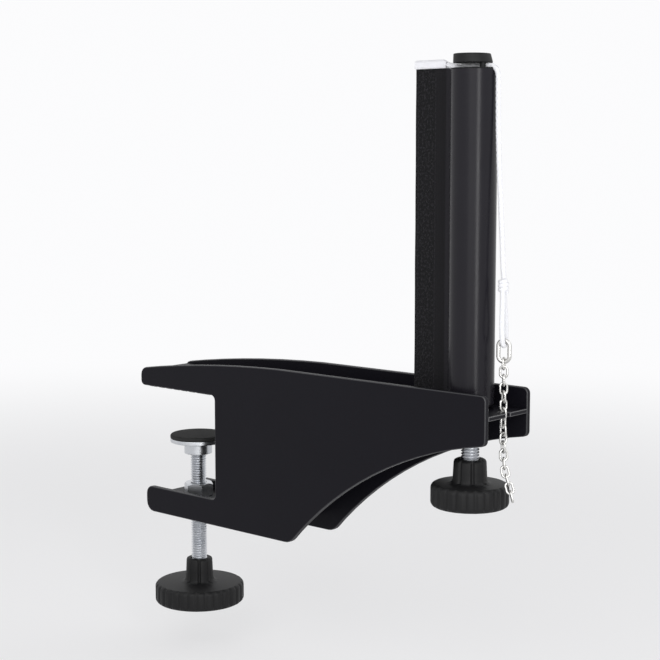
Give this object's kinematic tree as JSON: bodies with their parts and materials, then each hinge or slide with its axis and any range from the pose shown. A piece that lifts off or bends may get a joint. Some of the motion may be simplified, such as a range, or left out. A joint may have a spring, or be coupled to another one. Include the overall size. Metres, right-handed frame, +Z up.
{
  "type": "table tennis net clamp",
  "caption": "Two-plate steel clamp with a slotted net post, a clamp screw, a height screw, a tension cord and its chain.",
  "frame": {"origin": "middle of the table's side edge at the level of the table top, where the upper jaw's pad rests", "axes": "+X outwards along the net from the table to the post, +Y along the table's side, +Z up along the post"},
  "size_m": [0.217, 0.045, 0.2684],
  "materials": {
    "black_powder_coat": "satin black powder coat on steel",
    "black_post": "smooth satin black coat on a steel tube",
    "black_plastic": "fine-grained moulded plastic",
    "black_rubber": "matt rubber",
    "zinc_plate": "bright zinc plate",
    "nickel_chain": "nickel-plated wire",
    "black_webbing": "coarse woven polyester",
    "white_cotton": "plain woven tape",
    "white_cord": "braided cord"
  },
  "bodies": {
    "bracket": {"front_side_plate": "black_powder_coat", "rear_side_plate": "black_powder_coat", "top_web": "black_powder_coat", "throat_web": "black_powder_coat", "lower_web": "black_powder_coat", "jaw_pad": "black_rubber", "clamp_nut": "zinc_plate", "height_nut": "zinc_plate", "guide_tube": "zinc_plate", "tension_ring": "nickel_chain", "tension_chain": "nickel_chain", "tension_cord": "white_cord", "cord_knot": "white_cord"},
    "clamp_foot": {"pressure_plate": "zinc_plate", "pressure_pad": "black_rubber"},
    "clamp_screw": {"clamp_screw": "zinc_plate", "clamp_knob": "black_plastic", "clamp_knob_plug": "black_plastic"},
    "post": {"post_tube": "black_post", "post_foot": "black_plastic", "post_core": "black_plastic", "post_plug": "black_plastic", "cord_cap": "black_plastic", "band_rod": "black_plastic", "net_end_band": "black_webbing", "net_tape_end": "white_cotton"},
    "height_screw": {"height_screw": "zinc_plate", "height_knob": "black_plastic", "height_knob_plug": "black_plastic", "retaining_clip": "zinc_plate"},
    "chain_tail": {"chain_tail": "nickel_chain"}
  },
  "joints": [
    {"name": "post_height", "type": "slide", "parent": "bracket", "child": "post", "axis": [0, 0, 1], "range_m": [-0.002, 0.008], "deforming": ["tension_cord"]},
    {"name": "height_screw_turn", "type": "hinge", "parent": "post", "child": "height_screw", "pos_m": [0.1525, 0, 0], "axis": [0, 0, 1], "range_deg": [-577, 2305]},
    {"name": "clamp_travel", "type": "slide", "parent": "bracket", "child": "clamp_foot", "axis": [0, 0, 1], "range_m": [-0.0148, 0.02125]},
    {"name": "clamp_screw_turn", "type": "hinge", "parent": "clamp_foot", "child": "clamp_screw", "pos_m": [-0.017, 0, 0], "axis": [0, 0, 1], "range_deg": [-4263, 6121]},
    {"name": "chain_tail_swing", "type": "hinge", "parent": "bracket", "child": "chain_tail", "pos_m": [0.1694, 0, 0.0023], "axis": [0, -1, 0], "range_deg": [0, 60]}
  ],
  "couplings": [
    {"joint": "height_screw_turn", "follows": "post_height", "rad_per_m": 5026.5},
    {"joint": "clamp_screw_turn", "follows": "clamp_travel", "rad_per_m": 5026.5}
  ]
}
